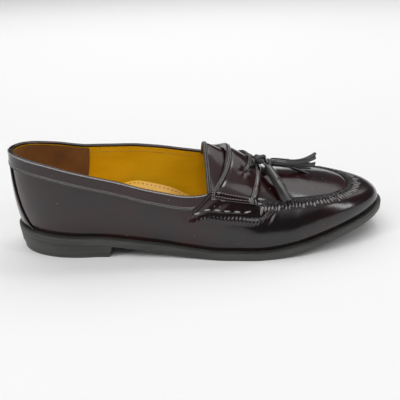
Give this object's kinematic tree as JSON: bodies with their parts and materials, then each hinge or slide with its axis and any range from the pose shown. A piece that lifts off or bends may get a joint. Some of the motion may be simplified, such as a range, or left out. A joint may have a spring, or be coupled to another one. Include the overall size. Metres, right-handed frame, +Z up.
{
  "type": "tassel loafer",
  "caption": "Slip-on leather dress shoe for the right foot with a hand-sewn apron seam, a saddle strap, a flat lace and fringed tassels on a low heel.",
  "frame": {"origin": "on the floor under the middle of the shoe", "axes": "+X toward the toe, +Y toward the inner (medial) side, +Z up"},
  "size_m": [0.3051, 0.1043, 0.0839],
  "materials": {
    "upper_leather": "polished near-black burgundy box leather",
    "lace_leather": "satin black-brown leather, cut edges",
    "lining": "mustard yellow lining leather",
    "sole": "satin black dressed sole edge",
    "heel": "satin black dressed stacked heel"
  },
  "bodies": {
    "root": {"outsole": "sole", "heel": "heel", "insole": "lining", "upper": "upper_leather", "tongue": "upper_leather", "strap": "upper_leather", "wing_lateral": "upper_leather", "wing_medial": "upper_leather", "collar_band": "upper_leather", "back_strip": "upper_leather", "lace_bar": "lace_leather", "lace_end_lateral": "lace_leather", "lace_end_medial": "lace_leather", "lace_knot": "lace_leather", "tassel_lateral": "lace_leather", "tassel_medial": "lace_leather"}
  },
  "joints": []
}
